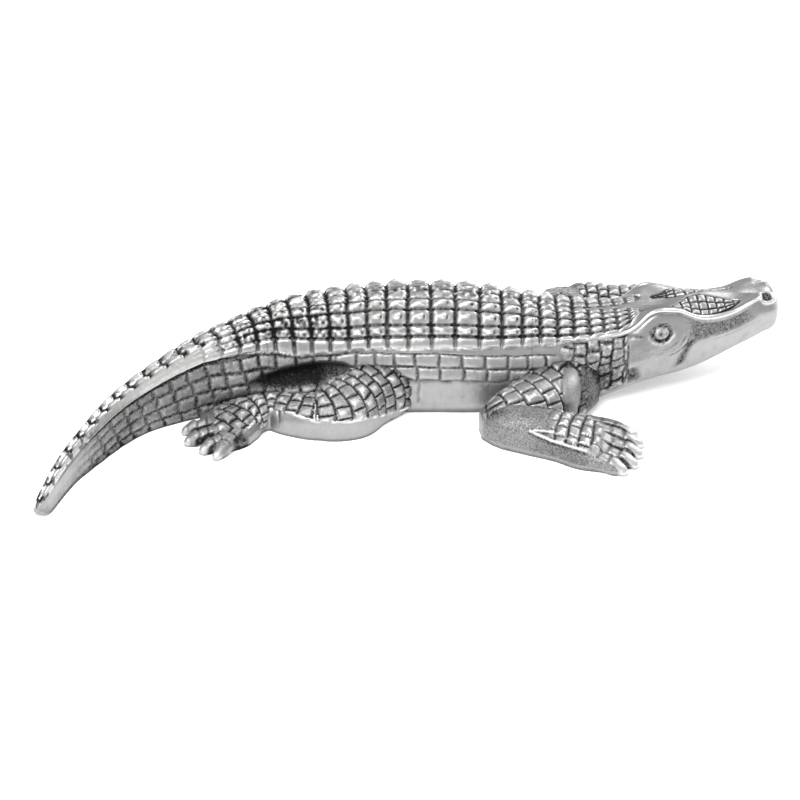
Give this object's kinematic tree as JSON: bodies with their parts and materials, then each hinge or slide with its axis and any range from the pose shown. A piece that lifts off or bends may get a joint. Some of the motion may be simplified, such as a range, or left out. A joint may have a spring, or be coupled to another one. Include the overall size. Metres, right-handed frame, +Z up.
{
  "type": "alligator figurine",
  "caption": "Solid cast metal alligator figurine, walking with head raised and tail swept to one side, flat underneath.",
  "frame": {"origin": "on the ground under the middle of the figurine's box", "axes": "+X towards the head, along the trunk; +Y to the animal's left; +Z up"},
  "size_m": [0.3001, 0.1798, 0.043],
  "materials": {
    "cast_metal": "cast aluminium, polished on the high parts and dark grey in the recesses"
  },
  "bodies": {
    "root": {"alligator": "cast_metal"}
  },
  "joints": []
}
